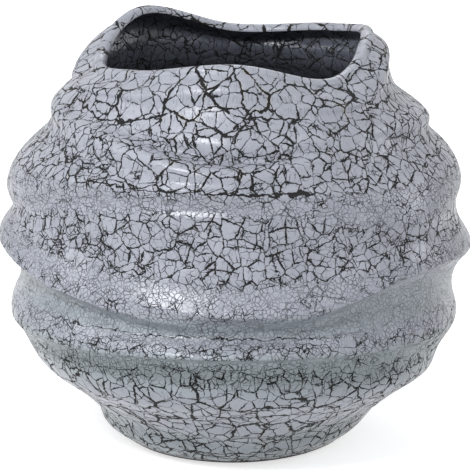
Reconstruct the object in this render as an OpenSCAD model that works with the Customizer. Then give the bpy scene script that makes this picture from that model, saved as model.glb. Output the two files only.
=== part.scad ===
// Squat round ceramic vase. Its wall is gathered into flowing folds that run round it at a slant,
// widen, narrow and melt into each other, and it ends in a rounded lip that rises and dips three times.
// It stands on a flat foot ring with four felt discs under it. Lengths are in millimetres, +Z is up, and
// azimuth 0 is the right-hand side (+X), 90 the back, 180 the left-hand side and 270 the front.

/* [Vase wall] */
// Height of the wall from the foot ring to the foot of the lip's round, before the lip's wave
wall_h = 220; // [170:1:260]
// Width of the plain belly, without its folds
belly_w = 244; // [200:1:280]
// Width of the plain wall at the foot ring
foot_w = 115; // [100:1:135]
// Clear width of the mouth inside the lip
mouth_w = 141; // [110:1:165]
// Thickness of the wall, which the lip's round follows
wall_t = 7.5; // [5:0.5:9]
// How high the lip's wave rises over its mean, and how low it dips
rim_wave = 10; // [0:0.5:14]

/* [Folds] */
// How far the deepest fold stands out from the plain wall
fold_depth = 17.5; // [0:0.5:20]
// Height of a wide fold, from its crest to where it has died out
fold_reach = 20; // [14:0.5:24]

/* [Floor and foot] */
// Height of the inside floor over the foot ring
floor_t = 9; // [7:0.5:14]
// Radius of the round between the inside floor and the wall
floor_round = 14; // [8:1:20]
// Depth of the hollow under the floor
hollow_h = 3; // [1.5:0.5:5]
// Width of the flat ring that the felt discs are stuck to
foot_ring_w = 13; // [12:0.5:20]
// Height of the small round at the foot ring's outer edge
foot_edge = 1.5; // [0.5:0.5:2.5]

/* [Felt discs] */
// Diameter of a felt disc
felt_d = 10; // [6:0.5:11]
// Thickness of a felt disc
felt_t = 1.5; // [1:0.5:3]
// Azimuth of the first felt disc; the four lie a quarter turn apart
felt_turn = 45; // [0:5:90]

/* [Hidden] */

glaze_color = "#A5A8B3";
felt_color = "#3A3B3F";

felt_fn = 48;
quarter_turn = 90;

// Points round the wall, and rings up its outside, over its lip, down its inside and round its floor
columns = 70;
outer_rings = 57;
lip_rings = 5;
inner_rings = 14;
round_rings = 4;
// How much closer the rings lie at the top than at the bottom
crowding_share = 0.15;

// Plain wall under the folds: [share of the wall's height, share of the way out to the belly].
// Below the belly the way out starts at the foot's width, above it at the mouth's outer width.
PLAIN_SHARES = [[0, 0], [0.023, 0.11], [0.055, 0.24], [0.1, 0.325], [0.155, 0.46], [0.218, 0.72],
                [0.29, 0.91], [0.4, 0.965], [0.514, 1], [0.627, 0.955], [0.741, 0.79], [0.809, 0.545],
                [0.877, 0.27], [0.936, 0.19], [0.973, 0.16], [1, 0]];
belly_share = 0.514;

// One row a fold, from the foot up. Each list in it holds shares at equal steps round the vase, counted
// from azimuth 0: [the crest's height as shares of the wall's height, the swell there as shares of the
// fold depth, the fold's upward reach, its downward reach, both as shares of the fold reach, and how
// abruptly it ends above and below, where 1 gives a pointed crest and 3 a flat one with a tight groove].
FOLD_SHARES = [
    // Foot band
    [[0.02, 0.02, 0.02, 0.02, 0.035, 0.02, 0.02, 0.02],
     [0.2, 0.15, 0.15, 0.15, 0.25, 0.15, 0.1, 0.05],
     [0.3], [0.4], [2], [2]],
    // Lowest fold
    [[0.18, 0.18, 0.19, 0.21, 0.2, 0.2, 0.17, 0.22],
     [0.55, 0.45, 0.45, 0.45, 0.35, 0.35, 0.4, 0.55],
     [0.7, 0.8, 0.8, 0.8, 0.8, 0.9, 1.3, 0.6], [1, 1, 1, 1, 1, 0.9, 0.9, 1.2],
     [2, 2, 2, 3.5], [2, 2, 2, 2, 2, 4, 4.5, 4]],
    // Overhanging fold under the belly
    [[0.33, 0.36, 0.39, 0.37, 0.35, 0.36, 0.38, 0.35],
     [0.3, 0.55, 0.8, 0.6, 0.35, 0.75, 1, 0.55],
     [0.6, 0.6, 0.5, 0.6, 0.6, 0.8, 0.4, 1], [0.7, 0.4, 0.2, 0.4, 0.6, 0.15, 0.2, 0.1],
     [2], [2, 1.5, 1.5, 1.5, 2, 1.5, 1.5, 1.5]],
    // Pointed belly fold
    [[0.51, 0.53, 0.48, 0.5, 0.54, 0.5, 0.45, 0.53],
     [0.55, 0.55, 0.4, 0.55, 0.65, 0.55, 0.35, 0.5],
     [0.6, 0.6, 0.5, 0.6, 0.6, 0.7, 0.5, 0.8], [0.5, 0.4, 0.3, 0.4, 0.5, 0.2, 0.3, 0.15],
     [1.5, 1.5, 2, 1.5, 1.5, 1.5, 2, 1.5], [1.5, 1.5, 2, 1.5, 1.5, 1.5, 2, 1.5]],
    // Broad swell that fills the belly
    [[0.47, 0.5, 0.49, 0.52, 0.48, 0.52, 0.48, 0.51],
     [0, 0.05, 0.4, 0.15, -0.15, 0.15, 0.5, 0.1],
     [1.1, 1.1, 1, 1.1, 1.1, 0.8, 1, 1.4], [0.8, 0.8, 0.3, 0.9, 0.8, 1.2, 0.2, 1.1],
     [2.5, 2, 2, 2, 2.5, 2, 1.5, 2], [3, 2, 1.5, 2, 3, 1.5, 1.5, 1.5]],
    // Thin crest on the belly's upper edge
    [[0.63, 0.65, 0.68, 0.65, 0.6, 0.68, 0.7, 0.65],
     [-0.1, 0.1, 0.2, 0.1, -0.15, 0.15, 0.2, 0.2],
     [0.3, 0.3, 0.3, 0.3, 0.3, 0.2, 0.3, 0.5], [0.3, 0.3, 0.4, 0.3, 0.3, 0.4, 0.5, 0.3],
     [1.5], [2]],
    // Shoulder fold
    [[0.69, 0.7, 0.74, 0.7, 0.68, 0.76, 0.76, 0.72],
     [0.45, 0.45, 0.45, 0.55, 0.45, 0.5, 0.4, 0.2],
     [1, 0.8, 0.3, 0.7, 1, 0.8, 0.1, 0.4], [0.8, 0.8, 0.5, 0.8, 0.8, 0.6, 0.4, 0.8],
     [2.5, 2, 1.5, 2, 2.5, 1, 1, 1], [2.5]],
    // Thin crest above the shoulder
    [[0.81, 0.83, 0.82, 0.84, 0.85, 0.85, 0.8, 0.82],
     [-0.05, 0.2, 0.5, 0.2, 0, 0.5, 0.6, -0.05],
     [0.2, 0.2, 0.15, 0.2, 0.2, 0.2, 0.15, 0.3], [0.3, 0.4, 0.4, 0.4, 0.3, 0.4, 0.4, 0.8],
     [2, 2.5, 3.5, 2.5, 2, 4, 4, 4], [2]],
    // Neck fold
    [[0.84, 0.86, 0.87, 0.88, 0.87, 0.88, 0.87, 0.87],
     [0.55, 0.25, 0.35, 0.2, 0.55, 0.2, 0.5, 0.35],
     [0.5, 0.5, 0.5, 0.5, 0.5, 0.6, 0.5, 0.4], [0.4, 0.4, 0.5, 0.4, 0.4, 0.3, 0.5, 0.6],
     [2, 2, 1.5, 2, 2, 1.5, 1.5, 1.5], [2, 2, 2, 2.5]],
    // Small fold under the lip
    [[0.98, 0.98, 0.96, 0.97, 0.96, 0.96, 0.95, 0.93],
     [0.1, 0.3, 0.1, 0.3, 0.2, 0.15, 0, 0.15],
     [0.25], [0.25], [2], [2, 2, 2, 3]],
    // The lip's own swell, which takes the mouth out of round
    [[1], [-0.15, 0.15, -0.05, 0, 0, -0.1, 0, -0.05], [1], [0.9], [2], [2]]];

// Height of the lip over its mean, as shares of the wave, at the same eight azimuths
RIM_SHARES = [0.55, -0.05, -0.4, 0.95, -0.95, -0.6, 0.15, -1];
// The wall rises and dips with the lip from this share of its height upwards
wave_start_share = 0.9;
// How much of the folds shows on the inside, below the lip
inside_share = 0.6;

mouth_r = mouth_w / 2 + wall_t;
foot_r = foot_w / 2;
belly_r = belly_w / 2;
ring_in_r = foot_r - foot_ring_w;
felt_place_r = foot_r - foot_ring_w / 2;

function total(list, i = 0) = i < len(list) ? list[i] + total(list, i + 1) : 0;

// Smooth closed curve through shares given at equal steps round the vase
function round_curve(shares, azimuth) =
    let (n = len(shares),
         place = azimuth / 360 * n,
         i = floor(place),
         f = place - i,
         p = shares[(i + n - 1) % n],
         q = shares[i % n],
         r = shares[(i + 1) % n],
         s = shares[(i + 2) % n])
    q + f / 2 * (r - p + f * (2 * p - 5 * q + 4 * r - s + f * (3 * (q - r) + s - p)));

// Slope of a table of [place, value] at its row i, from the rows on either side
function table_slope(table, i) =
    let (a = max(i - 1, 0), b = min(i + 1, len(table) - 1))
    (table[b][1] - table[a][1]) / (table[b][0] - table[a][0]);

// Smooth open curve through a table of [place, value], whose places rise
function table_curve(table, place) =
    let (i = max([for (j = [0 : len(table) - 2]) if (j == 0 || table[j][0] <= place) j]),
         w = table[i + 1][0] - table[i][0],
         f = (place - table[i][0]) / w,
         q = table[i][1],
         r = table[i + 1][1],
         m = table_slope(table, i) * w,
         n = table_slope(table, i + 1) * w)
    q + f * (m + f * (3 * (r - q) - 2 * m - n + f * (2 * (q - r) + m + n)));

// Smooth step from 0 to 1
function step_up(x) = let (t = min(max(x, 0), 1)) t * t * (3 - 2 * t);

function plain_r(h) =
    let (share = h / wall_h,
         start = share < belly_share ? foot_r : mouth_r)
    start + (belly_r - start) * table_curve(PLAIN_SHARES, share);

// The folds as they pass one azimuth: [crest height, swell, upward reach, downward reach, abruptness
// above, abruptness below]
function folds_at(azimuth) =
    let (units = [wall_h, fold_depth, fold_reach, fold_reach, 1, 1])
    [for (f = FOLD_SHARES) [for (k = [0 : len(f) - 1]) units[k] * round_curve(f[k], azimuth)]];

function swell(h, folds) =
    total([for (f = folds)
        let (above = h > f[0])
        f[1] * exp(-pow(abs(h - f[0]) / (above ? f[2] : f[3]), above ? f[4] : f[5]))]);

function wave_share(h) = step_up((h / wall_h - wave_start_share) / (1 - wave_start_share));

function rise(h, azimuth) = rim_wave * wave_share(h) * round_curve(RIM_SHARES, azimuth);

function outer_r(h, folds) = plain_r(h) + swell(h, folds);

function inner_r(h, folds) =
    plain_r(h) - wall_t + swell(h, folds) * (inside_share + (1 - inside_share) * wave_share(h));

// Points as [radius, height] up one azimuth, from under the floor, over the lip and down to the floor
function profile(azimuth) =
    let (folds = folds_at(azimuth),
         lip_r = outer_r(wall_h, folds) - wall_t / 2,
         lip_z = wall_h + rise(wall_h, azimuth),
         round_z = floor_t + floor_round,
         round_r = inner_r(round_z, folds) - floor_round)
    concat(
        [[ring_in_r - hollow_h, hollow_h], [ring_in_r, 0], [outer_r(0, folds) - foot_edge, 0]],
        [for (i = [0 : outer_rings])
            let (u = i / outer_rings,
                 h = foot_edge + (wall_h - foot_edge) * u * (1 + crowding_share * (1 - u)))
            [outer_r(h, folds), h + rise(h, azimuth)]],
        [for (i = [1 : lip_rings])
            let (t = 180 * i / (lip_rings + 1))
            [lip_r + wall_t / 2 * cos(t), lip_z + wall_t / 2 * sin(t)]],
        [for (i = [0 : inner_rings])
            let (h = wall_h - (wall_h - round_z) * i / inner_rings)
            [inner_r(h, folds), h + rise(h, azimuth)]],
        [for (i = [1 : round_rings])
            let (t = 90 * i / round_rings)
            [round_r + floor_round * cos(t), round_z - floor_round * sin(t)]]);

module vase_body() {
    profiles = [for (c = [0 : columns - 1]) profile(360 * c / columns)];
    rings = len(profiles[0]);
    wall = [for (k = [0 : rings - 1]) for (c = [0 : columns - 1])
        let (azimuth = 360 * c / columns, p = profiles[c][k])
        [p[0] * cos(azimuth), p[0] * sin(azimuth), felt_t + p[1]]];
    under = len(wall);
    inside = under + 1;
    points = concat(wall, [[0, 0, felt_t + hollow_h], [0, 0, felt_t + floor_t]]);
    sides = [for (k = [0 : rings - 2]) for (c = [0 : columns - 1])
        let (d = (c + 1) % columns,
             a = k * columns + c, b = k * columns + d,
             e = a + columns, g = b + columns)
        each [[a, g, b], [a, e, g]]];
    last = (rings - 1) * columns;
    ends = [for (c = [0 : columns - 1])
        let (d = (c + 1) % columns)
        each [[under, c, d], [inside, last + d, last + c]]];
    color(glaze_color)
        polyhedron(points, concat(sides, ends), convexity = 8);
}

// Felt disc under the foot ring, the given number of quarter turns from the first
module felt_disc(turns) {
    color(felt_color)
        rotate([0, 0, felt_turn + quarter_turn * turns])
            translate([felt_place_r, 0, 0])
                cylinder(h = felt_t, d = felt_d, $fn = felt_fn);
}

module felt_disc_back_right() { felt_disc(0); }
module felt_disc_back_left() { felt_disc(1); }
module felt_disc_front_left() { felt_disc(2); }
module felt_disc_front_right() { felt_disc(3); }

vase_body();
felt_disc_back_right();
felt_disc_back_left();
felt_disc_front_left();
felt_disc_front_right();
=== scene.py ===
"""Squat round ceramic vase with flowing folds and a crackled grey glaze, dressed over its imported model.

Lengths are in millimetres, as on the part, and are turned to metres where a mesh or a lamp is made. +Z is
up, azimuth 0 is the right-hand side (+X), a quarter turn on is the back and three quarters the front.
"""

import bpy
import numpy as np
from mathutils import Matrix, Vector


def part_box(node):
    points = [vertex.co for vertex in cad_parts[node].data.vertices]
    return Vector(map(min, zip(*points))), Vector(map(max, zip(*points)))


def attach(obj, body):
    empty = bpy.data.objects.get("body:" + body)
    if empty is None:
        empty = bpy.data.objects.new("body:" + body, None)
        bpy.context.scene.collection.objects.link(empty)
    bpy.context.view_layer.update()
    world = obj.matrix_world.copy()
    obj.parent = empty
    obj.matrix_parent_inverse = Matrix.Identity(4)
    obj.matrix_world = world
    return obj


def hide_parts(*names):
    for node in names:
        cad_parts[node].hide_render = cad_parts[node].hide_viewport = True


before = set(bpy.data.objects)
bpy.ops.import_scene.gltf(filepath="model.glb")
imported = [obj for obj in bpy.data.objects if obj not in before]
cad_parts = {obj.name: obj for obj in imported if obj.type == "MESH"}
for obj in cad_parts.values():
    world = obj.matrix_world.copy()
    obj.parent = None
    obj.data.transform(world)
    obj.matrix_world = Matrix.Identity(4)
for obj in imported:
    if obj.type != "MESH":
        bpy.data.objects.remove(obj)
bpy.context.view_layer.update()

# Outer wall.
# One moulded stoneware shell, whose wall is gathered into folds that run round it at a slant. A near-black
# slip covers it, and over that a thick grey glaze that shrank in the kiln and tore into plates. The plates
# are large where the glaze lay thick, on crests and at the neck, and tiny where it ran thin, in grooves.
MM = 0.001
FULL_TURN = 2 * np.pi

wall_h = 220.0  # from the foot ring to the foot of the lip's round
belly_r = 122.0
foot_r = 57.5
wall_t = 7.5
mouth_r = 70.5 + wall_t
rim_wave = 10.0
fold_depth = 17.5
fold_reach = 20.0
foot_edge = 1.5
foot_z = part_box("vase_body")[0].z / MM

# Plain wall under the folds: [share of the wall's height, share of the way out to the belly]
PLAIN_SHARES = np.array([
    [0, 0], [0.023, 0.11], [0.055, 0.24], [0.1, 0.325], [0.155, 0.46], [0.218, 0.72], [0.29, 0.91],
    [0.4, 0.965], [0.514, 1], [0.627, 0.955], [0.741, 0.79], [0.809, 0.545], [0.877, 0.27],
    [0.936, 0.19], [0.973, 0.16], [1, 0]])
belly_share = 0.514

# One row a fold, from the foot up, each with shares at equal steps round the vase from azimuth 0: [crest's
# height, swell, reach upwards, reach downwards, how abruptly it ends above, and below].
FOLD_SHARES = [
    # Foot band
    [[0.02, 0.02, 0.02, 0.02, 0.035, 0.02, 0.02, 0.02],
     [0.2, 0.15, 0.15, 0.15, 0.25, 0.15, 0.1, 0.05],
     [0.3], [0.4], [2], [2]],
    # Lowest fold
    [[0.18, 0.18, 0.19, 0.21, 0.2, 0.2, 0.17, 0.22],
     [0.55, 0.45, 0.45, 0.45, 0.35, 0.35, 0.4, 0.55],
     [0.7, 0.8, 0.8, 0.8, 0.8, 0.9, 1.3, 0.6], [1, 1, 1, 1, 1, 0.9, 0.9, 1.2],
     [2, 2, 2, 3.5], [2, 2, 2, 2, 2, 4, 4.5, 4]],
    # Overhanging fold under the belly
    [[0.33, 0.36, 0.39, 0.37, 0.35, 0.36, 0.38, 0.35],
     [0.3, 0.55, 0.8, 0.6, 0.35, 0.75, 1, 0.55],
     [0.6, 0.6, 0.5, 0.6, 0.6, 0.8, 0.4, 1], [0.7, 0.4, 0.2, 0.4, 0.6, 0.15, 0.2, 0.1],
     [2], [2, 1.5, 1.5, 1.5, 2, 1.5, 1.5, 1.5]],
    # Pointed belly fold
    [[0.51, 0.53, 0.48, 0.5, 0.54, 0.5, 0.45, 0.53],
     [0.55, 0.55, 0.4, 0.55, 0.65, 0.55, 0.35, 0.5],
     [0.6, 0.6, 0.5, 0.6, 0.6, 0.7, 0.5, 0.8], [0.5, 0.4, 0.3, 0.4, 0.5, 0.2, 0.3, 0.15],
     [1.5, 1.5, 2, 1.5, 1.5, 1.5, 2, 1.5], [1.5, 1.5, 2, 1.5, 1.5, 1.5, 2, 1.5]],
    # Broad swell that fills the belly
    [[0.47, 0.5, 0.49, 0.52, 0.48, 0.52, 0.48, 0.51],
     [0, 0.05, 0.4, 0.15, -0.15, 0.15, 0.5, 0.1],
     [1.1, 1.1, 1, 1.1, 1.1, 0.8, 1, 1.4], [0.8, 0.8, 0.3, 0.9, 0.8, 1.2, 0.2, 1.1],
     [2.5, 2, 2, 2, 2.5, 2, 1.5, 2], [3, 2, 1.5, 2, 3, 1.5, 1.5, 1.5]],
    # Thin crest on the belly's upper edge
    [[0.63, 0.65, 0.68, 0.65, 0.6, 0.68, 0.7, 0.65],
     [-0.1, 0.1, 0.2, 0.1, -0.15, 0.15, 0.2, 0.2],
     [0.3, 0.3, 0.3, 0.3, 0.3, 0.2, 0.3, 0.5], [0.3, 0.3, 0.4, 0.3, 0.3, 0.4, 0.5, 0.3],
     [1.5], [2]],
    # Shoulder fold
    [[0.69, 0.7, 0.74, 0.7, 0.68, 0.76, 0.76, 0.72],
     [0.45, 0.45, 0.45, 0.55, 0.45, 0.5, 0.4, 0.2],
     [1, 0.8, 0.3, 0.7, 1, 0.8, 0.1, 0.4], [0.8, 0.8, 0.5, 0.8, 0.8, 0.6, 0.4, 0.8],
     [2.5, 2, 1.5, 2, 2.5, 1, 1, 1], [2.5]],
    # Thin crest above the shoulder
    [[0.81, 0.83, 0.82, 0.84, 0.85, 0.85, 0.8, 0.82],
     [-0.05, 0.2, 0.5, 0.2, 0, 0.5, 0.6, -0.05],
     [0.2, 0.2, 0.15, 0.2, 0.2, 0.2, 0.15, 0.3], [0.3, 0.4, 0.4, 0.4, 0.3, 0.4, 0.4, 0.8],
     [2, 2.5, 3.5, 2.5, 2, 4, 4, 4], [2]],
    # Neck fold
    [[0.84, 0.86, 0.87, 0.88, 0.87, 0.88, 0.87, 0.87],
     [0.55, 0.25, 0.35, 0.2, 0.55, 0.2, 0.5, 0.35],
     [0.5, 0.5, 0.5, 0.5, 0.5, 0.6, 0.5, 0.4], [0.4, 0.4, 0.5, 0.4, 0.4, 0.3, 0.5, 0.6],
     [2, 2, 1.5, 2, 2, 1.5, 1.5, 1.5], [2, 2, 2, 2.5]],
    # Small fold under the lip
    [[0.98, 0.98, 0.96, 0.97, 0.96, 0.96, 0.95, 0.93],
     [0.1, 0.3, 0.1, 0.3, 0.2, 0.15, 0, 0.15],
     [0.25], [0.25], [2], [2, 2, 2, 3]],
    # The lip's own swell, which takes the mouth out of round
    [[1], [-0.15, 0.15, -0.05, 0, 0, -0.1, 0, -0.05], [1], [0.9], [2], [2]]]
FOLD_UNITS = [wall_h, fold_depth, fold_reach, fold_reach, 1, 1]

RIM_SHARES = [0.55, -0.05, -0.4, 0.95, -0.95, -0.6, 0.15, -1]
wave_start_share = 0.9
inside_share = 0.6

# Where the glaze changes: [height at eight azimuths from 0, as shares of the wall's height; how much larger
# the plates get from there upwards, where 1 is from the finest to the largest; how wide the change is].
foot_plates = 0.5
PLATE_BANDS = [
    # Few cracks in the groove over the foot band
    [[0.05, 0.05, 0.05, 0.05, 0.05, 0.05, 0.05, 0.05], 0.15, 6],
    # Large plates on the lowest fold
    [[0.1, 0.1, 0.11, 0.11, 0.11, 0.11, 0.1, 0.12], 0.25, 6],
    # Fine crackle from there up to the belly, finest in the groove under it
    [[0.27, 0.27, 0.28, 0.28, 0.27, 0.27, 0.27, 0.26], -0.6, 8],
    [[0.33, 0.36, 0.38, 0.36, 0.34, 0.34, 0.35, 0.33], -0.18, 12],
    [[0.41, 0.42, 0.44, 0.43, 0.42, 0.42, 0.42, 0.41], -0.09, 4],
    [[0.5, 0.5, 0.48, 0.48, 0.5, 0.49, 0.47, 0.52], 0.03, 5],
    # Middling plates on the belly
    [[0.57, 0.57, 0.56, 0.56, 0.59, 0.565, 0.545, 0.56], 0.41, 9],
    # Finest crackle in the groove over the belly
    [[0.635, 0.65, 0.68, 0.66, 0.61, 0.675, 0.706, 0.64], -0.34, 4],
    # Larger plates on the shoulder, and the largest from the neck to the lip
    [[0.71, 0.71, 0.72, 0.71, 0.72, 0.75, 0.755, 0.73], 0.42, 3],
    [[0.88, 0.88, 0.89, 0.88, 0.89, 0.89, 0.89, 0.89], 0.37, 8]]

# Painted shade, darker and greenish, in the grooves and under the overhanging folds: the same, with how much
# darker it gets
painted_shade_at_foot = 0.7
PAINTED_SHADE_BANDS = [
    [[0.11, 0.11, 0.11, 0.11, 0.11, 0.12, 0.11, 0.13], -0.55, 8],
    [[0.24, 0.24, 0.26, 0.25, 0.25, 0.26, 0.27, 0.25], 0.75, 20],
    [[0.35, 0.37, 0.4, 0.38, 0.36, 0.37, 0.385, 0.36], -0.8, 6],
    [[0.41, 0.42, 0.43, 0.42, 0.42, 0.42, 0.42, 0.41], 0.5, 5],
    [[0.49, 0.49, 0.47, 0.48, 0.49, 0.48, 0.465, 0.5], -0.6, 6]]

# Long cracks that follow a fold: [first azimuth, last azimuth in degrees, height at the first, half-way
# and at the last, half-width]. Those at the back come last, and where none is near the gap is 50 mm.
no_crack_gap = 50.0
LONG_CRACKS = [
    [203, 243, 201, 194, 199, 0.8], [258, 270, 214, 207, 200, 0.9], [268, 297, 202, 199.5, 198, 0.8],
    [296, 313, 206, 205, 205.5, 0.7], [308, 344, 199, 198, 200, 0.6], [222, 264, 169, 166.5, 167, 0.5],
    [260, 294, 167, 166, 165, 1.1], [200, 236, 181, 174, 169, 0.4], [326, 346, 174, 175, 175, 0.5],
    [195, 224, 130, 131.5, 129.5, 0.35], [206, 304, 91, 92.5, 90, 0.3], [292, 352, 122, 134, 131, 0.35],
    [236, 263, 38, 37, 40, 0.8], [261, 290, 40, 41.5, 42, 0.8], [267.5, 272, 41, 33, 23, 0.9],
    [226, 296, 10, 9.5, 11, 0.6], [304, 334, 57, 58.5, 58, 0.4],
    [12, 60, 168, 166, 169, 0.7], [70, 128, 131, 134, 132, 0.35], [100, 162, 196, 201, 198, 0.8],
    [20, 92, 86, 88, 84, 0.3], [118, 176, 44, 46, 43, 0.7], [140, 186, 170, 168, 171, 0.5]]


def round_curve(shares, azimuth):
    """Smooth closed curve through shares at equal steps round the vase: a cubic between each two, whose
    slope at each is that of the line from the one before it to the one after it."""
    shares = np.asarray(shares, float)
    count = len(shares)
    place = azimuth / FULL_TURN * count
    i = np.floor(place).astype(int)
    f = place - i
    p, q, r, s = (shares[(i + k) % count] for k in (-1, 0, 1, 2))
    return q + f / 2 * (r - p + f * (2 * p - 5 * q + 4 * r - s + f * (3 * (q - r) + s - p)))


def table_curve(table, place):
    """Smooth open curve through rows of [place, value]: a cubic between each two rows, whose slope at a row
    is that of the line between its neighbours."""
    x, y = table.T
    slope = np.concatenate([[(y[1] - y[0]) / (x[1] - x[0])], (y[2:] - y[:-2]) / (x[2:] - x[:-2]),
                            [(y[-1] - y[-2]) / (x[-1] - x[-2])]])
    i = np.clip(np.searchsorted(x, place, side="right") - 1, 0, len(x) - 2)
    w = x[i + 1] - x[i]
    f = (place - x[i]) / w
    q, r, m, n = y[i], y[i + 1], slope[i] * w, slope[i + 1] * w
    return q + f * (m + f * (3 * (r - q) - 2 * m - n + f * (2 * (q - r) + m + n)))


def step_up(x):
    """Smooth step from 0 to 1: three times the square less twice the cube."""
    t = np.clip(x, 0, 1)
    return t * t * (3 - 2 * t)


def plain_r(h):
    """Radius without folds: the table's share of the way from the foot, or above the belly from the mouth,
    out to the belly."""
    share = h / wall_h
    start = np.where(share < belly_share, foot_r, mouth_r)
    return start + (belly_r - start) * table_curve(PLAIN_SHARES, share)


def swell(h, azimuth):
    """How far the folds stand out: for each, its swell times e to the power of minus the distance from its
    crest over its reach, raised to its abruptness."""
    out = 0.0
    for row in FOLD_SHARES:
        crest, most, up, down, above, below = (
            unit * round_curve(shares, azimuth) for unit, shares in zip(FOLD_UNITS, row))
        over = h > crest
        out = out + most * np.exp(-(np.abs(h - crest) / np.where(over, up, down))
                                  ** np.where(over, above, below))
    return out


def wave_share(h):
    """How much of the lip's wave the wall follows: none up to the wave's start, all at the lip."""
    return step_up((h / wall_h - wave_start_share) / (1 - wave_start_share))


def rise(h, azimuth):
    """How far the lip's wave lifts the wall there: the wave's height times its curve round the vase."""
    return rim_wave * wave_share(h) * round_curve(RIM_SHARES, azimuth)


def outer_r(h, azimuth):
    """Radius of the outer wall: the plain wall and the folds' swell."""
    return plain_r(h) + swell(h, azimuth)


def hand_made(h, azimuth):
    """Slight unevenness of a moulded and dipped wall: eighteen waves of 14 to 60 mm that slant either way,
    each as high as a small share of its length. They rise from nothing at the foot's edge."""
    longest, shortest, waves = 60, 14, 18
    middling_r = 110
    low_share = 0.0011
    even_h = 10
    rng = np.random.default_rng(7)
    out = 0.0
    for length in np.geomspace(longest, shortest, waves):
        lobes = int(rng.integers(0, 1 + int(FULL_TURN * middling_r / length)))
        climb = rng.choice([-1, 1]) * FULL_TURN / length * rng.uniform(0.3, 1)
        out = out + length * low_share * np.sin(lobes * azimuth + climb * h + rng.uniform(0, FULL_TURN))
    return out * step_up((h - foot_edge) / even_h)


def banded(h, azimuth, lowest, bands):
    """A value that starts at the lowest and changes at each band: a sum of smooth steps, each at its band's
    height round the vase and as wide as the band says."""
    value = np.full_like(h, lowest)
    for heights, change, width in bands:
        value = value + change * step_up((h - wall_h * round_curve(heights, azimuth)) / width + 0.5)
    return value


def long_crack(h, azimuth):
    """Height over the nearest long crack and that crack's half-width. A crack's line is a parabola through
    its three heights. It closes over the fifth of its length at each end, and from 4 to 8 mm away."""
    near = 4
    turn = np.degrees(azimuth) % 360
    gap = np.full_like(h, no_crack_gap)
    width = np.zeros_like(h)
    for first, last, start, middle, end, half in LONG_CRACKS:
        t = (turn - first) / (last - first)
        line = start + t * (4 * middle - 3 * start - end) + t * t * (2 * start + 2 * end - 4 * middle)
        off = h - line
        nearer = (np.abs(off) < np.abs(gap)) & (t > 0) & (t < 1)
        fade = step_up(5 * np.minimum(t, 1 - t)) * step_up(2 - np.abs(off) / near)
        gap = np.where(nearer, off, gap)
        width = np.where(nearer, half * fade, width)
    return gap, width


def wall_grid(azimuth, outer_rings, lip_rings):
    """Outer wall from the foot's edge up and over the lip: for each ring its height on the wall, how far
    round the lip it is from 0 to 1, and the points. The lip is half a circle as wide as the wall."""
    h = np.concatenate([np.linspace(foot_edge, wall_h, outer_rings), np.full(lip_rings, wall_h)])
    over = np.concatenate([np.zeros(outer_rings), np.arange(1, lip_rings + 1) / lip_rings])
    h, turn = np.meshgrid(h, azimuth, indexing="ij")
    over = np.broadcast_to(over[:, None], h.shape)
    radius = outer_r(h, turn) + hand_made(h, turn) - wall_t / 2 * (1 - np.cos(np.pi * over))
    z = foot_z + h + rise(h, turn) + wall_t / 2 * np.sin(np.pi * over)
    return h, turn, over, np.stack([radius * np.cos(turn), radius * np.sin(turn), z], -1) * MM


def grid_normals(points):
    """Unit normals of a grid of points: the cross product of its slopes along and up."""
    normal = np.cross(np.gradient(points, axis=1), np.gradient(points, axis=0))
    return normal / np.maximum(np.linalg.norm(normal, axis=-1, keepdims=True), 1e-12)


def ring_normals(points):
    """Unit normals of a grid whose last column joins its first."""
    return grid_normals(np.concatenate([points[:, -1:], points, points[:, :1]], 1))[:, 1:-1]


def grid_mesh(name, points, normals, values, poles=()):
    """Mesh of a grid of points, with a map that lays the grid flat and the values as attributes. With
    poles, which are pairs of a ring, 0 or -1, and a point, the grid's last column joins its first, and each
    of those rings closes in triangles on its point."""
    rings, columns = points.shape[:2]
    last = columns if poles else columns - 1
    k, c = np.meshgrid(np.arange(rings - 1), np.arange(last), indexing="ij")
    d = (c + 1) % columns
    step = np.linalg.norm(np.diff(points, axis=0), axis=-1).mean(1)
    up = np.concatenate([[0], np.cumsum(step)])
    corners = np.stack([k * columns + c, k * columns + d, (k + 1) * columns + d, (k + 1) * columns + c], -1)
    faces = corners.reshape(-1, 4).tolist()
    across = np.stack([c, c + 1, c + 1, c], -1).ravel()
    along = np.stack([up[k], up[k], up[k + 1], up[k + 1]], -1).ravel()
    points = points.reshape(-1, 3)
    normals = normals.reshape(-1, 3)
    values = {key: value.ravel() for key, value in values.items()}
    for ring, pole in poles:
        first = (ring % rings) * columns
        way = -1 if ring == 0 else 1
        c = np.arange(columns)
        d = (c + way) % columns
        faces += np.stack([first + c, first + d, np.full(columns, len(points))], -1).tolist()
        reach = up[ring] + way * np.linalg.norm(points[first] - pole)
        across = np.concatenate([across, np.stack([c, c + way, c], -1).ravel()])
        along = np.concatenate([along, np.tile([up[ring], up[ring], reach], columns)])
        mean = normals[first:first + columns].mean(0)
        points = np.concatenate([points, [pole]])
        normals = np.concatenate([normals, [mean / np.linalg.norm(mean)]])
        values = {key: np.append(value, value[first]) for key, value in values.items()}
    mesh = bpy.data.meshes.new(name)
    mesh.from_pydata(points, [], faces)
    across = (across - across.min()) / np.ptp(across)
    along = (along - along.min()) / np.ptp(along)
    margin = 0.004
    flat = margin + (1 - 2 * margin) * np.stack([across, along], -1)
    mesh.uv_layers.new(name="OFBake").data.foreach_set("uv", flat.astype(np.float32).ravel())
    for key, value in values.items():
        mesh.attributes.new(key, "FLOAT", "POINT").data.foreach_set("value", value.astype(np.float32))
    mesh.polygons.foreach_set("use_smooth", np.ones(len(mesh.polygons), bool))
    mesh.normals_split_custom_set_from_vertices(normals)
    piece = bpy.data.objects.new(name, mesh)
    bpy.context.scene.collection.objects.link(piece)
    return piece


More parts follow.
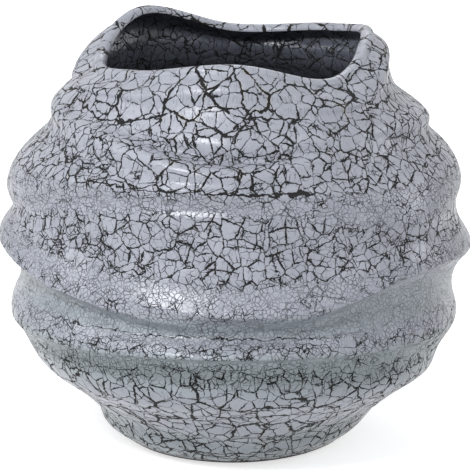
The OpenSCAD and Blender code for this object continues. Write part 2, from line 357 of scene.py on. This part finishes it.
def linear(hex_colour):
    """Linear red, green, blue and alpha of an sRGB hex colour."""
    srgb = np.array([int(hex_colour[i:i + 2], 16) for i in (1, 3, 5)]) / 255
    return (*np.where(srgb <= 0.04045, srgb / 12.92, ((srgb + 0.055) / 1.055) ** 2.4), 1.0)


def add(tree, kind, links=None, **settings):
    """Adds a node of a kind, sets what settings name, and fills its sockets from links, by number or name:
    with a value, a socket, or a node's first output."""
    made = tree.nodes.new(kind)
    for key, value in settings.items():
        setattr(made, key, value)
    for key, value in (links or {}).items():
        if isinstance(value, bpy.types.Node):
            value = value.outputs[0]
        if isinstance(value, bpy.types.NodeSocket):
            tree.links.new(value, made.inputs[key])
        else:
            made.inputs[key].default_value = value
    return made


def new_material(name):
    """Empty material, its tree and its shader."""
    material = bpy.data.materials.new(name)
    material.use_nodes = True
    tree = material.node_tree
    tree.nodes.clear()
    shader = add(tree, "ShaderNodeBsdfPrincipled")
    add(tree, "ShaderNodeOutputMaterial", {"Surface": shader})
    return material, tree, shader


def crack_distance(tree, place_mm, normal, spacing, shift):
    """Cracks between cells of one size. A point belongs to its nearest seed, and the crack runs half-way to
    the next nearest. The distance to it is taken along the surface and not through the clay. Also a number
    from 0 to 1 for that stretch of crack, and the cell's own colour."""
    steepest = 0.12
    same_seeds = (0.02, 0.02, 0.02)
    scaled = add(tree, "ShaderNodeVectorMath", {0: place_mm, "Scale": 1 / spacing}, operation="SCALE")
    place = add(tree, "ShaderNodeVectorMath", {0: scaled, 1: shift}, operation="ADD")
    first, second = (
        add(tree, "ShaderNodeTexVoronoi", {"Vector": place, "Scale": 1.0, "Randomness": 1.0}, feature=kind)
        for kind in ("F1", "F2"))
    across = add(tree, "ShaderNodeVectorMath", {0: second.outputs["Position"], 1: first.outputs["Position"]},
                 operation="SUBTRACT")
    way = add(tree, "ShaderNodeVectorMath", {0: across}, operation="NORMALIZE")
    both = add(tree, "ShaderNodeVectorMath", {0: first.outputs["Position"], 1: second.outputs["Position"]},
               operation="ADD")
    middle = add(tree, "ShaderNodeVectorMath", {0: both, "Scale": 0.5}, operation="SCALE")
    gap = add(tree, "ShaderNodeVectorMath", {0: middle, 1: place}, operation="SUBTRACT")
    through = add(tree, "ShaderNodeVectorMath", {0: gap, 1: way}, operation="DOT_PRODUCT")
    tilt = add(tree, "ShaderNodeVectorMath", {0: way, 1: normal}, operation="DOT_PRODUCT")
    square = add(tree, "ShaderNodeMath", {0: tilt.outputs["Value"], 1: tilt.outputs["Value"]},
                 operation="MULTIPLY")
    flat = add(tree, "ShaderNodeMath", {0: 1.0, 1: square}, operation="SUBTRACT")
    flat = add(tree, "ShaderNodeMath", {0: flat, 1: steepest}, operation="MAXIMUM")
    flat = add(tree, "ShaderNodeMath", {0: flat}, operation="SQRT")
    along = add(tree, "ShaderNodeMath", {0: through.outputs["Value"], 1: flat}, operation="DIVIDE")
    distance = add(tree, "ShaderNodeMath", {0: along, 1: spacing}, operation="MULTIPLY")
    snapped = add(tree, "ShaderNodeVectorMath", {0: both, 1: same_seeds}, operation="SNAP")
    chance = add(tree, "ShaderNodeTexWhiteNoise", {"Vector": snapped}, noise_dimensions="3D")
    return distance.outputs[0], chance.outputs["Value"], first.outputs["Color"]


def crack_mask(tree, distance, half_width):
    """1 inside a crack and 0 outside it, with a slightly soft edge."""
    softness = 0.08
    inner = add(tree, "ShaderNodeMath", {0: half_width, 1: softness}, operation="SUBTRACT")
    outer = add(tree, "ShaderNodeMath", {0: half_width, 1: softness}, operation="ADD")
    return add(tree, "ShaderNodeMapRange", {"Value": distance, "From Min": inner, "From Max": outer,
                                            "To Min": 1.0, "To Max": 0.0}, interpolation_type="SMOOTHSTEP")


# Cracks come in four sizes, the finer ones inside the plates of the coarser: [distance between cracks; how
# far waves of 11 and of 2.8 mm bend them; thinnest and widest half-width; plate size from which they widen,
# and at which they are widest; smallest plate size that has them; how much they close up and end blind
# where the plates are large].
CRACK_LEVELS = [
    [18.0, (5.0, 3.0), 0.13, 0.85, 0.3, 0.9, -1.0, 0.0],
    [8.5, (0.0, 2.5), 0.16, 0.66, 0.12, 0.5, -1.0, 0.45],
    [4.2, (0.0, 1.25), 0.16, 0.42, 0.12, 0.5, 0.2, 1.5],
    [2.4, (0.0, 0.65), 0.17, 0.17, 0.0, 0.3, -1.0, 2.6]]


def crackle_glaze(name, plate_hex, shade_hex, painted_shade_hex, slip_hex):
    """Grey glaze torn into plates over a near-black slip: four sizes of cracks and the long cracks. Plates
    are satin and slightly domed, and the slip in the cracks is dull. Some wide cracks have a painted
    highlight along their edges, pale beige. Painted shade makes the plates darker and greenish in grooves and
    under folds."""
    material, tree, shader = new_material(name)
    coordinate = add(tree, "ShaderNodeTexCoord")
    normal = coordinate.outputs["Normal"]
    plain_mm = add(tree, "ShaderNodeVectorMath", {0: coordinate.outputs["Object"], "Scale": 1 / MM},
                   operation="SCALE")
    # Waves of 11 and of 2.8 mm that bend the cracks
    waves = []
    for wave, detail in ((11.0, 1.0), (2.8, 3.0)):
        noise = add(tree, "ShaderNodeTexNoise", {"Vector": plain_mm, "Scale": 1 / wave, "Detail": detail,
                                                 "Roughness": 0.72})
        waves.append(add(tree, "ShaderNodeVectorMath", {0: noise.outputs["Color"], 1: (0.5, 0.5, 0.5)},
                         operation="SUBTRACT"))
    size = add(tree, "ShaderNodeAttribute", attribute_name="plate_size").outputs["Fac"]
    # The plates are a little larger or smaller from patch to patch, and a crack swells and closes up
    patch = add(tree, "ShaderNodeTexNoise", {"Vector": plain_mm, "Scale": 1 / 20.0, "Detail": 2.0})
    patch = add(tree, "ShaderNodeMapRange", {"Value": patch.outputs["Fac"], "From Min": 0.3, "From Max": 0.7,
                                             "To Min": -0.1, "To Max": 0.1})
    size = add(tree, "ShaderNodeMath", {0: size, 1: patch}, operation="ADD")
    swing = add(tree, "ShaderNodeTexNoise", {"Vector": plain_mm, "Scale": 1 / 6.0, "Detail": 1.0})
    swing = add(tree, "ShaderNodeMapRange", {"Value": swing.outputs["Fac"], "From Min": 0.3,
                                             "From Max": 0.7, "To Min": 0.5, "To Max": 1.5})

    # Where the plates are fine, so are the cracks: too thin to look black, and the plates lie flat
    faint = add(tree, "ShaderNodeMapRange", {"Value": size, "From Min": 0.0, "From Max": 0.2,
                                             "To Min": 0.45, "To Max": 1.0})
    domed = add(tree, "ShaderNodeMapRange", {"Value": size, "From Min": 0.1, "From Max": 0.5,
                                             "To Min": 0.2, "To Max": 1.0})

    # The finer cracks start afresh in each plate of the two coarser sizes
    shift = (0.0, 0.0, 0.0)
    afresh = 23.0
    masks, distances = [], []
    for spacing, reaches, thin, wide, low, high, smallest, closing in CRACK_LEVELS:
        bend = plain_mm
        for wave, reach in zip(waves, reaches):
            bent = add(tree, "ShaderNodeVectorMath", {0: wave, "Scale": reach}, operation="SCALE")
            bend = add(tree, "ShaderNodeVectorMath", {0: bend, 1: bent}, operation="ADD")
        distance, chance, colour = crack_distance(tree, bend, normal, spacing, shift)
        grown = add(tree, "ShaderNodeMapRange", {"Value": size, "From Min": low, "From Max": high,
                                                 "To Min": 0.0, "To Max": wide - thin})
        bias = add(tree, "ShaderNodeMapRange", {"Value": chance, "To Min": 0.3, "To Max": 1.0})
        half = add(tree, "ShaderNodeMath", {0: grown, 1: bias, 2: thin}, operation="MULTIPLY_ADD")
        closed = add(tree, "ShaderNodeMath", {0: size, 1: -closing, 2: swing}, operation="MULTIPLY_ADD")
        missing = add(tree, "ShaderNodeMapRange", {"Value": size, "From Min": smallest - 0.05,
                                                   "From Max": smallest + 0.05, "To Min": -2.5,
                                                   "To Max": 0.0})
        closed = add(tree, "ShaderNodeMath", {0: closed, 1: missing}, operation="ADD")
        closed = add(tree, "ShaderNodeMath", {0: closed, 1: -1.0}, operation="MAXIMUM")
        half = add(tree, "ShaderNodeMath", {0: half, 1: closed}, operation="MULTIPLY")
        mask = crack_mask(tree, distance, half)
        masks.append(add(tree, "ShaderNodeMath", {0: mask, 1: faint}, operation="MULTIPLY"))
        distances.append((distance, half))
        if len(masks) <= 2:
            plate_chance = colour
            shift = add(tree, "ShaderNodeVectorMath", {0: colour, "Scale": afresh}, operation="SCALE")

    gap = add(tree, "ShaderNodeAttribute", attribute_name="long_gap").outputs["Fac"]
    half = add(tree, "ShaderNodeAttribute", attribute_name="long_half").outputs["Fac"]
    # Long cracks waver by up to 3 mm to either side of their line
    sway_reach = 6.0
    long_share = 0.7
    sway = add(tree, "ShaderNodeTexNoise", {"Vector": plain_mm, "Scale": 1 / 5.0, "Detail": 4.0})
    gap = add(tree, "ShaderNodeMath", {0: sway.outputs["Fac"], 1: sway_reach, 2: gap},
              operation="MULTIPLY_ADD")
    gap = add(tree, "ShaderNodeMath", {0: gap, 1: sway_reach / 2}, operation="SUBTRACT")
    gap = add(tree, "ShaderNodeMath", {0: gap}, operation="ABSOLUTE")
    half = add(tree, "ShaderNodeMath", {0: half, 1: swing}, operation="MULTIPLY")
    half = add(tree, "ShaderNodeMath", {0: half, 1: long_share}, operation="MULTIPLY")
    masks.append(crack_mask(tree, gap, half))
    # Hairlines that run down the wall side by side on the largest plates, 1.5 mm apart. Real ones are finer
    # than 0.1 mm. They are drawn as wide as they need to show, and paler for it
    lines_round = 330
    line_pitch = 1.5
    line_drift = 3.0
    line_strength = 0.4
    axes = add(tree, "ShaderNodeSeparateXYZ", {0: plain_mm}).outputs
    angle = add(tree, "ShaderNodeMath", {0: axes["Y"], 1: axes["X"]}, operation="ARCTAN2")
    drift = add(tree, "ShaderNodeTexNoise", {"Vector": plain_mm, "Scale": 1 / 6.0, "Detail": 2.0})
    drift = add(tree, "ShaderNodeMath", {0: drift.outputs["Fac"], 1: line_drift}, operation="MULTIPLY")
    line = add(tree, "ShaderNodeMath", {0: angle, 1: lines_round / FULL_TURN, 2: drift},
               operation="MULTIPLY_ADD")
    line = add(tree, "ShaderNodeMath", {0: line}, operation="FRACT")
    line = add(tree, "ShaderNodeMath", {0: line, 1: 0.5}, operation="SUBTRACT")
    line = add(tree, "ShaderNodeMath", {0: line}, operation="ABSOLUTE")
    line = add(tree, "ShaderNodeMath", {0: line, 1: line_pitch}, operation="MULTIPLY")
    broken = add(tree, "ShaderNodeTexNoise", {"Vector": plain_mm, "Scale": 1 / 4.0, "Detail": 1.0})
    broken = add(tree, "ShaderNodeMapRange", {"Value": broken.outputs["Fac"], "From Min": 0.42,
                                              "From Max": 0.62, "To Min": -0.1, "To Max": 0.15})
    absent = add(tree, "ShaderNodeMapRange", {"Value": size, "From Min": 0.6, "From Max": 0.85,
                                              "To Min": -0.3, "To Max": 0.0})
    half = add(tree, "ShaderNodeMath", {0: broken, 1: absent}, operation="ADD")
    mask = crack_mask(tree, line, half)
    masks.append(add(tree, "ShaderNodeMath", {0: mask, 1: line_strength}, operation="MULTIPLY"))
    crack = masks[0]
    for other in masks[1:]:
        crack = add(tree, "ShaderNodeMath", {0: crack, 1: other}, operation="MAXIMUM")

    # The grey goes a shade darker in clouds of 30 mm, from plate to plate, and in spots of 1.5 mm
    cloud = add(tree, "ShaderNodeTexNoise", {"Vector": plain_mm, "Scale": 1 / 30.0, "Detail": 3.0})
    mottle = add(tree, "ShaderNodeTexNoise", {"Vector": plain_mm, "Scale": 1 / 1.5, "Detail": 3.0})
    uneven = add(tree, "ShaderNodeMath", {0: plate_chance, 1: 0.4, 2: cloud.outputs["Fac"]},
                 operation="MULTIPLY_ADD")
    uneven = add(tree, "ShaderNodeMath", {0: mottle.outputs["Fac"], 1: 0.8, 2: uneven},
                 operation="MULTIPLY_ADD")
    uneven = add(tree, "ShaderNodeMapRange", {"Value": uneven, "From Min": 0.7, "From Max": 1.5})
    plate = add(tree, "ShaderNodeMix", {0: uneven, 6: linear(plate_hex), 7: linear(shade_hex)},
                data_type="RGBA").outputs[2]
    # Painted shade: the plates go darker and greenish in the grooves and under the overhanging folds
    painted_shade_share = add(tree, "ShaderNodeAttribute", attribute_name="painted_shade").outputs["Fac"]
    plate = add(tree, "ShaderNodeMix", {0: painted_shade_share, 6: plate, 7: linear(painted_shade_hex)},
                data_type="RGBA").outputs[2]
    # Here and there a wide crack has a painted highlight, 0.4 mm of pale beige along its edges where the
    # broken glaze catches the light
    lit_edge_width = 0.4
    wide_distance, wide_half = distances[0]
    edge = add(tree, "ShaderNodeMath", {0: wide_half, 1: lit_edge_width}, operation="ADD")
    edge = crack_mask(tree, wide_distance, edge)
    lit_edge_share = add(tree, "ShaderNodeMapRange", {"Value": cloud.outputs["Fac"], "From Min": 0.5, "From Max": 0.6,
                                             "To Min": 0.0, "To Max": 0.55})
    wide_enough = add(tree, "ShaderNodeMapRange", {"Value": wide_half, "From Min": 0.35, "From Max": 0.6})
    lit_edge_share = add(tree, "ShaderNodeMath", {0: lit_edge_share, 1: wide_enough}, operation="MULTIPLY")
    edge = add(tree, "ShaderNodeMath", {0: edge, 1: lit_edge_share}, operation="MULTIPLY")
    # Mix in the painted highlight along the crack edges
    plate = add(tree, "ShaderNodeMix", {0: edge, 6: plate, 7: linear("#BEB8A8")}, data_type="RGBA").outputs[2]
    base = add(tree, "ShaderNodeMix", {0: crack, 6: plate, 7: linear(slip_hex)}, data_type="RGBA").outputs[2]
    tree.links.new(base, shader.inputs["Base Color"])
    satin, dull = 0.27, 0.9
    rough = add(tree, "ShaderNodeMapRange", {"Value": crack, "To Min": satin, "To Max": dull})
    tree.links.new(rough.outputs[0], shader.inputs["Roughness"])
    # Cracks are cut 0.3 mm deep, and each of the three coarser sizes of plates domes up from its edges
    crack_depth = 0.3
    slopes, dome_rises = (2.5, 1.2, 0.7), (0.2, 0.1, 0.035)
    height = add(tree, "ShaderNodeMath", {0: crack, 1: -crack_depth}, operation="MULTIPLY")
    for (distance, half), slope, rise_mm in zip(distances, slopes, dome_rises):
        dome = add(tree, "ShaderNodeMapRange", {"Value": distance, "From Min": 0.0, "From Max": slope,
                                                "To Min": 0.0, "To Max": rise_mm},
                   interpolation_type="SMOOTHSTEP")
        height = add(tree, "ShaderNodeMath", {0: dome, 1: domed, 2: height}, operation="MULTIPLY_ADD")
    bump = add(tree, "ShaderNodeBump", {"Height": height, "Distance": MM, "Strength": 0.8})
    tree.links.new(bump.outputs[0], shader.inputs["Normal"])
    return material


# The fourth colour is the painted shade's: darker and greenish
glaze = crackle_glaze("crackle_glaze_over_black_slip", "#B0B4C0", "#9DA1AD", "#9BA6AB", "#040405")
quarters = {"front": 225, "right": 315, "back": 45, "left": 135}
columns, outer_rings, lip_rings = 241, 300, 20
# Plates are larger the further a crest stands proud of the wall 7 mm above and below it, up to 3 mm. They
# grow once more over the first eighth of the lip's round
crest_span = 7.0
crest_gain = 0.04
crest_limit = 3
lip_gain = 0.7
lip_start = 1 / 8
for side, start in quarters.items():
    step = 90 / (columns - 1)
    azimuth = np.radians(start + step * np.arange(-1, columns + 1))
    h, turn, over, points = wall_grid(azimuth, outer_rings, lip_rings)
    normals = grid_normals(points)
    gap, half = long_crack(h, turn)
    proud = outer_r(h, turn) - (outer_r(h + crest_span, turn) + outer_r(h - crest_span, turn)) / 2
    plates = banded(h, turn, foot_plates, PLATE_BANDS)
    plates = plates + crest_gain * np.clip(proud, -crest_limit, crest_limit)
    # The painted shade comes from its bands: darker and greenish in the grooves and under the overhanging
    # folds
    values = {"plate_size": np.maximum(plates, 0) + lip_gain * step_up(over / lip_start),
              "painted_shade": banded(h, turn, painted_shade_at_foot, PAINTED_SHADE_BANDS),
              "long_gap": gap, "long_half": half * (over == 0)}
    keep = (slice(None), slice(1, -1))
    piece = grid_mesh("crackle_wall_" + side, points[keep], normals[keep],
                      {key: value[keep] for key, value in values.items()})
    piece.data.materials.append(glaze)
    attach(piece, "root")
    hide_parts("vase_body")

# Inside.
# The same shell seen through the mouth: slip with a thin dark wash of glaze, which crackled as the outside
# did and leaves it nearly black, with dull grey plates. The folds show less here, because the clay is
# thicker behind each crest.
floor_t = 9.0
floor_round = 14.0
azimuth = np.linspace(0, FULL_TURN, 540, endpoint=False)
h, turn = np.meshgrid(np.linspace(wall_h, floor_t + floor_round, 140), azimuth, indexing="ij")
folds = inside_share + (1 - inside_share) * wave_share(h)
radius = plain_r(h) - wall_t + swell(h, turn) * folds + hand_made(h, turn) * wave_share(h)
z = foot_z + h + rise(h, turn)
bend = np.linspace(0, np.pi / 2, 12)[1:, None]
round_r = radius[-1] - floor_round * (1 - np.cos(bend))
round_z = z[-1] - floor_round * np.sin(bend)
shrink = np.linspace(1, 0, 30)[1:-1, None]
radius = np.concatenate([radius, round_r, round_r[-1] * shrink])
z = np.concatenate([z, round_z, np.broadcast_to(round_z[-1], (len(shrink), len(azimuth)))])
turn = np.broadcast_to(azimuth, radius.shape)
points = np.stack([radius * np.cos(turn), radius * np.sin(turn), z], -1) * MM
# The plates shrink from 15 mm under the lip to 45 mm, where the wash ran thin
mouth_plates, plates_lost = 0.5, 0.35
depth = wall_h + foot_z - z
values = {"plate_size": mouth_plates - plates_lost * step_up((depth - 15) / 30),
          "painted_shade": np.zeros_like(z), "long_gap": np.full_like(z, no_crack_gap),
          "long_half": np.zeros_like(z)}
normals = ring_normals(points)
inside = grid_mesh("dark_inside", points, normals, values, [(-1, (0, 0, z[-1, 0] * MM))])
inside.data.materials.append(
    crackle_glaze("dark_wash_inside", "#6C717D", "#595D68", "#595D68", "#0B0C0F"))
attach(inside, "root")
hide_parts("vase_body")

# Foot.
# The clay was turned flat at the foot ring and hollowed under the floor, and the glaze was wiped off it
# before firing, so that the vase wouldn't stick to the kiln's shelf. It is bare stoneware, gritty and dull.
hollow_h = 3.0
foot_ring_w = 13.0
ring_in_r = foot_r - foot_ring_w
azimuth = np.linspace(FULL_TURN, 0, 540, endpoint=False)
edge_r = outer_r(np.full_like(azimuth, foot_edge), azimuth)
flat_r = outer_r(np.zeros_like(azimuth), azimuth) - foot_edge
hollow_r = np.full_like(azimuth, ring_in_r - hollow_h)
bend = np.linspace(0, np.pi / 2, 8)[:, None]
share = np.linspace(0, 1, 12)[1:, None]
shrink = np.linspace(1, 0, 24)[1:-1, None]
radius = np.concatenate([flat_r + (edge_r - flat_r) * np.cos(bend), flat_r + (ring_in_r - flat_r) * share,
                         ring_in_r + (hollow_r - ring_in_r) * share, hollow_r * shrink])
level = np.concatenate([foot_edge * (1 - np.sin(bend)), 0 * share, hollow_h * share,
                        hollow_h + 0 * shrink])
z = foot_z + level * np.ones_like(azimuth)
points = np.stack([radius * np.cos(azimuth), radius * np.sin(azimuth), z], -1) * MM
underside = grid_mesh("bare_foot", points, ring_normals(points), {},
                      [(-1, (0, 0, (foot_z + hollow_h) * MM))])

material, tree, shader = new_material("bare_gritty_stoneware")
# Dark clay with paler and darker grit of 1 to 2 mm, and fine turning lines round the foot's middle, 1.6 mm
# apart. It looks rough and earthy, and nothing on it shines
ripple = 4.0
ripple_h = 0.06
grit_h = 0.15
coordinate = add(tree, "ShaderNodeTexCoord")
place = add(tree, "ShaderNodeVectorMath", {0: coordinate.outputs["Object"], "Scale": 1 / MM},
            operation="SCALE")
cloud = add(tree, "ShaderNodeTexNoise", {"Vector": place, "Scale": 1 / 8.0, "Detail": 6.0})
grit = add(tree, "ShaderNodeTexVoronoi", {"Vector": place, "Scale": 1 / 1.6})
spot = add(tree, "ShaderNodeMapRange", {"Value": grit.outputs["Distance"], "From Min": 0.12,
                                        "From Max": 0.3, "To Min": 1.0, "To Max": 0.0})
body = add(tree, "ShaderNodeMix", {0: cloud.outputs["Fac"], 6: linear("#5E5852"), 7: linear("#3F3B38")},
           data_type="RGBA").outputs[2]
speck = add(tree, "ShaderNodeMix", {0: grit.outputs["Color"], 6: linear("#2A2826"), 7: linear("#8D857B")},
            data_type="RGBA").outputs[2]
base = add(tree, "ShaderNodeMix", {0: spot, 6: body, 7: speck}, data_type="RGBA").outputs[2]
tree.links.new(base, shader.inputs["Base Color"])
shader.inputs["Roughness"].default_value = 0.85
across = add(tree, "ShaderNodeVectorMath", {0: place, 1: (1.0, 1.0, 0.0)}, operation="MULTIPLY")
reach = add(tree, "ShaderNodeVectorMath", {0: across}, operation="LENGTH")
lines = add(tree, "ShaderNodeMath", {0: reach.outputs["Value"], 1: ripple}, operation="MULTIPLY")
lines = add(tree, "ShaderNodeMath", {0: lines}, operation="SINE")
height = add(tree, "ShaderNodeMath", {0: lines, 1: ripple_h, 2: cloud.outputs["Fac"]},
             operation="MULTIPLY_ADD")
height = add(tree, "ShaderNodeMath", {0: spot, 1: grit_h, 2: height}, operation="MULTIPLY_ADD")
bump = add(tree, "ShaderNodeBump", {"Height": height, "Distance": MM, "Strength": 0.6})
tree.links.new(bump.outputs[0], shader.inputs["Normal"])
underside.data.materials.append(material)
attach(underside, "root")
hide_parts("vase_body")

# Felt discs.
# Four dots punched from a sheet of pressed wool felt, glued under the foot ring to keep it from scratching
# the table. The punch left a crisp edge, which frays a little, and the face is slightly uneven.
felt_d = 10.0
felt_t = 1.5
felt_round = 0.3
dent_h = 0.05
material, tree, shader = new_material("pressed_wool_felt")
# Short matted fibres in charcoal shades: two stretched noises across each other. It looks soft and has no
# highlight, only a faint bloom where it turns away
coordinate = add(tree, "ShaderNodeTexCoord")
place = add(tree, "ShaderNodeVectorMath", {0: coordinate.outputs["Object"], "Scale": 1 / MM},
            operation="SCALE")
strands = []
for stretch in ((0.7, 4.0, 4.0), (4.0, 0.7, 4.0)):
    pulled = add(tree, "ShaderNodeVectorMath", {0: place, 1: stretch}, operation="MULTIPLY")
    strands.append(add(tree, "ShaderNodeTexNoise", {"Vector": pulled, "Scale": 1.0, "Detail": 4.0,
                                                    "Distortion": 1.5}).outputs["Fac"])
fibres = add(tree, "ShaderNodeMath", {0: strands[0], 1: strands[1]}, operation="MAXIMUM")
fibres = add(tree, "ShaderNodeMapRange", {"Value": fibres, "From Min": 0.4, "From Max": 0.75})
base = add(tree, "ShaderNodeMix", {0: fibres, 6: linear("#242528"), 7: linear("#54565C")},
           data_type="RGBA").outputs[2]
tree.links.new(base, shader.inputs["Base Color"])
shader.inputs["Roughness"].default_value = 0.95
shader.inputs["Sheen Weight"].default_value = 0.3
bump = add(tree, "ShaderNodeBump", {"Height": fibres, "Distance": MM, "Strength": 0.3})
tree.links.new(bump.outputs[0], shader.inputs["Normal"])
for corner in ("back_right", "back_left", "front_left", "front_right"):
    low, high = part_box("felt_disc_" + corner)
    middle_x, middle_y = (low.x + high.x) / 2 / MM, (low.y + high.y) / 2 / MM
    azimuth = np.linspace(0, FULL_TURN, 64, endpoint=False)
    bend = np.linspace(0, np.pi / 2, 5)[:, None]
    inner = felt_d / 2 - felt_round
    radius = np.concatenate([inner * np.linspace(0, 1, 8)[1:-1, None], inner + felt_round * np.sin(bend),
                             inner + felt_round * np.cos(bend), inner * np.linspace(1, 0, 8)[1:-1, None]])
    level = np.concatenate([np.zeros((6, 1)), felt_round * (1 - np.cos(bend)),
                            felt_t - felt_round * (1 - np.sin(bend)), np.full((6, 1), felt_t)])
    fray = 0.04 * (np.sin(13 * azimuth + middle_x) - 1) + 0.03 * (np.sin(29 * azimuth + middle_y) - 1)
    radius = radius + fray * (radius / inner) ** 4
    dent = dent_h * (1 + np.sin(radius * 1.3 + 2 * azimuth))
    level = level + dent * step_up(1 - level / felt_t)
    points = np.stack([middle_x + radius * np.cos(azimuth), middle_y + radius * np.sin(azimuth), level],
                      -1) * MM
    ends = [(ring, (middle_x * MM, middle_y * MM, middle_z * MM))
            for ring, middle_z in ((0, dent_h), (-1, felt_t))]
    pad = grid_mesh("felt_pad_" + corner, points, ring_normals(points), {}, ends)
    pad.data.materials.append(material)
    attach(pad, "root")
    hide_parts("felt_disc_" + corner)

# Stage.
# A plain pale floor that keeps the vase's shadow, soft studio lamps round it, and the camera where the
# photograph was taken from.
floor_mesh = bpy.data.meshes.new("floor")
reach = 6.0
floor_mesh.from_pydata([(-reach, -reach, 0), (reach, -reach, 0), (reach, reach, 0), (-reach, reach, 0)],
                       [], [(0, 1, 2, 3)])
floor = bpy.data.objects.new("floor", floor_mesh)
bpy.context.scene.collection.objects.link(floor)
paper, tree, shader = new_material("white_paper_floor")
# Matt white paper. It glows for the camera and for reflections alone, so that it comes out white
floor_glow = 0.67
shader.inputs["Base Color"].default_value = linear("#F5F5F5")
shader.inputs["Roughness"].default_value = 0.9
light_path = add(tree, "ShaderNodeLightPath").outputs
seen = add(tree, "ShaderNodeMath", {0: light_path["Is Camera Ray"], 1: light_path["Is Glossy Ray"]},
           operation="MAXIMUM")
seen = add(tree, "ShaderNodeMath", {0: seen, 1: light_path["Is Transmission Ray"]}, operation="MAXIMUM")
glow = add(tree, "ShaderNodeMath", {0: seen, 1: floor_glow}, operation="MULTIPLY")
glow = add(tree, "ShaderNodeEmission", {"Color": (1, 1, 1, 1), "Strength": glow})
both = add(tree, "ShaderNodeAddShader", {0: shader, 1: glow})
output = next(n for n in tree.nodes if n.type == "OUTPUT_MATERIAL")
tree.links.new(both.outputs[0], output.inputs["Surface"])
floor_mesh.materials.append(paper)

# White all round for the camera and for reflections, and a third as bright as a light
world_level = 0.33
world = bpy.data.worlds.new("studio")
bpy.context.scene.world = world
world.use_nodes = True
tree = world.node_tree
tree.nodes.clear()
light_path = add(tree, "ShaderNodeLightPath").outputs
seen = add(tree, "ShaderNodeMath", {0: light_path["Is Camera Ray"], 1: light_path["Is Glossy Ray"]},
           operation="MAXIMUM")
seen = add(tree, "ShaderNodeMath", {0: seen, 1: light_path["Is Transmission Ray"]}, operation="MAXIMUM")
strength = add(tree, "ShaderNodeMapRange", {"Value": seen, "To Min": world_level, "To Max": 1.0})
white = add(tree, "ShaderNodeBackground", {"Color": (1, 1, 1, 1), "Strength": strength})
add(tree, "ShaderNodeOutputWorld", {"Surface": white})

# Soft boxes: [degrees to the right of the camera, degrees up, watts, width and height in metres], all as
# far from the vase's middle. The first two stand at the left and put the highlights on the crests
LAMPS = [[-27, 41, 10.6, 0.45, 0.2], [-43, 46, 3.0, 0.2, 0.2], [-85, 30, 2.8, 0.5, 0.5],
         [60, 45, 1.5, 0.5, 0.5], [105, 20, 2.8, 0.5, 0.5], [-70, 64, 2.4, 0.4, 0.2],
         [170, 40, 2.0, 0.5, 0.5]]
lamp_reach = 1.6
aim = Vector((0, 0, 0.12))
for right, up, watts, width, height in LAMPS:
    data = bpy.data.lights.new(f"soft_box_{right}", "AREA")
    data.shape = "RECTANGLE"
    data.energy, data.size, data.size_y = watts, width, height
    soft_box = bpy.data.objects.new(data.name, data)
    right, up = np.radians((right, up))
    away = Vector((np.sin(right) * np.cos(up), -np.cos(right) * np.cos(up), np.sin(up)))
    soft_box.location = aim + lamp_reach * away
    soft_box.rotation_euler = (-away).to_track_quat("-Z", "Y").to_euler()
    bpy.context.scene.collection.objects.link(soft_box)

camera = bpy.data.cameras.new("camera")
camera.lens, camera.sensor_width = 205.7, 36
eye = bpy.data.objects.new("camera", camera)
eye.location = (0, -1.4489, 0.5032)
eye.rotation_euler = (Vector((0, 0, 0.115)) - eye.location).to_track_quat("-Z", "Y").to_euler()
bpy.context.scene.collection.objects.link(eye)
bpy.context.scene.camera = eye
bpy.context.scene.view_settings.view_transform = "Standard"

bpy.context.view_layer.update()
